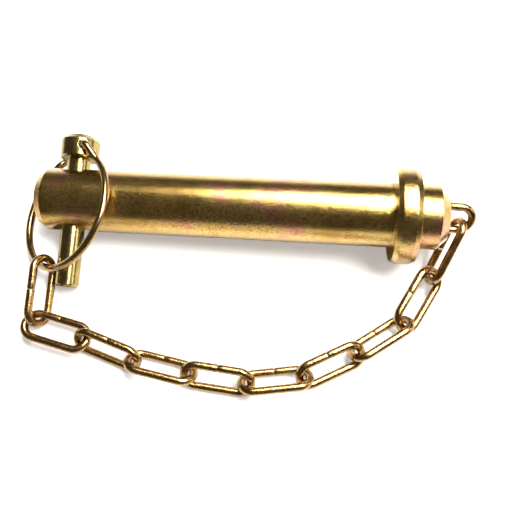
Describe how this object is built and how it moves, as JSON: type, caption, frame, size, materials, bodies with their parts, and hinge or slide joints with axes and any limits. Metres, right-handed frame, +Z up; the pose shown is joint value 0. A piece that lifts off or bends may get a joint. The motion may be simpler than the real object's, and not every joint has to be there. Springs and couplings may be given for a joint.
{
  "type": "top link pin",
  "caption": "Collared round hitch pin with a linch pin through its tip, a spring ring on the linch pin and a chain back to the rear stub.",
  "frame": {"origin": "on the bar's axis at the collar's bearing face", "axes": "+Z is up off the surface that it lies on, X runs along the bar with the tip towards -X"},
  "size_m": [0.185, 0.1001, 0.0387],
  "materials": {
    "bar_zinc": "yellow passivated zinc",
    "linch_zinc": "yellow passivated zinc",
    "ring_zinc": "yellow passivated zinc",
    "chain_zinc": "yellow passivated zinc"
  },
  "bodies": {
    "bar": {"pin_body": "bar_zinc", "linch_pin": "linch_zinc", "chain_link_01": "chain_zinc"},
    "ring": {"linch_ring": "ring_zinc"},
    "link_02": {"chain_link_02": "chain_zinc"},
    "link_03": {"chain_link_03": "chain_zinc"},
    "link_04": {"chain_link_04": "chain_zinc"},
    "link_05": {"chain_link_05": "chain_zinc"},
    "link_06": {"chain_link_06": "chain_zinc"},
    "link_07": {"chain_link_07": "chain_zinc"},
    "link_08": {"chain_link_08": "chain_zinc"},
    "link_09": {"chain_link_09": "chain_zinc"},
    "link_10": {"chain_link_10": "chain_zinc"},
    "link_11": {"chain_link_11": "chain_zinc"}
  },
  "joints": [
    {"name": "ring_flip", "type": "hinge", "parent": "bar", "child": "ring", "pos_m": [-0.1291, 0.02113, -0.00061], "axis": [-0.4307, 0.2093, -0.8779], "range_deg": [0, 26]},
    {"name": "link_02_swing", "type": "hinge", "parent": "bar", "child": "link_02", "pos_m": [0.02609, -0.00188, -0.00116], "axis": [-0.4307, 0.2093, -0.8779], "range_deg": [-0.5, 4.4]},
    {"name": "link_03_swing", "type": "hinge", "parent": "link_02", "child": "link_03", "pos_m": [0.01815, -0.02019, -0.01132], "axis": [-0.4307, 0.2093, -0.8779], "range_deg": [-0.5, 16.47]},
    {"name": "link_04_swing", "type": "hinge", "parent": "link_03", "child": "link_04", "pos_m": [0.00756, -0.0398, -0.01358], "axis": [-0.4307, 0.2093, -0.8779], "range_deg": [-0.5, 2.86]},
    {"name": "link_05_swing", "type": "hinge", "parent": "link_04", "child": "link_05", "pos_m": [-0.01055, -0.05298, -0.01358], "axis": [-0.4307, 0.2093, -0.8779], "range_deg": [-9.47, 0.5]},
    {"name": "link_06_swing", "type": "hinge", "parent": "link_05", "child": "link_06", "pos_m": [-0.03012, -0.06389, -0.01358], "axis": [-0.4307, 0.2093, -0.8779], "range_deg": [-1.62, 0.5]},
    {"name": "link_07_swing", "type": "hinge", "parent": "link_06", "child": "link_07", "pos_m": [-0.05214, -0.06796, -0.01358], "axis": [-0.4307, 0.2093, -0.8779], "range_deg": [-21.86, 0.5]},
    {"name": "link_08_swing", "type": "hinge", "parent": "link_07", "child": "link_08", "pos_m": [-0.07448, -0.06629, -0.01358], "axis": [-0.4307, 0.2093, -0.8779], "range_deg": [-0.5, 1.85]},
    {"name": "link_09_swing", "type": "hinge", "parent": "link_08", "child": "link_09", "pos_m": [-0.09659, -0.0627, -0.01358], "axis": [-0.4307, 0.2093, -0.8779], "range_deg": [-0.5, 1.9]},
    {"name": "link_10_swing", "type": "hinge", "parent": "link_09", "child": "link_10", "pos_m": [-0.118, -0.05613, -0.01358], "axis": [-0.4307, 0.2093, -0.8779], "range_deg": [-6.25, 0.5]},
    {"name": "link_11_swing", "type": "hinge", "parent": "link_10", "child": "link_11", "pos_m": [-0.13766, -0.04918, -0.01381], "axis": [-0.4307, 0.2093, -0.8779], "range_deg": [-2.61, 0.5]}
  ],
  "couplings": [
    {"joint": "link_02_swing", "follows": "ring_flip", "ratio": 0.1501},
    {"joint": "link_03_swing", "follows": "ring_flip", "ratio": 0.6143},
    {"joint": "link_04_swing", "follows": "ring_flip", "ratio": 0.0906},
    {"joint": "link_05_swing", "follows": "ring_flip", "ratio": -0.3449},
    {"joint": "link_06_swing", "follows": "ring_flip", "ratio": -0.0429},
    {"joint": "link_07_swing", "follows": "ring_flip", "ratio": -0.8216},
    {"joint": "link_08_swing", "follows": "ring_flip", "ratio": 0.052},
    {"joint": "link_09_swing", "follows": "ring_flip", "ratio": 0.054},
    {"joint": "link_10_swing", "follows": "ring_flip", "ratio": -0.2212},
    {"joint": "link_11_swing", "follows": "ring_flip", "ratio": -0.0812}
  ]
}
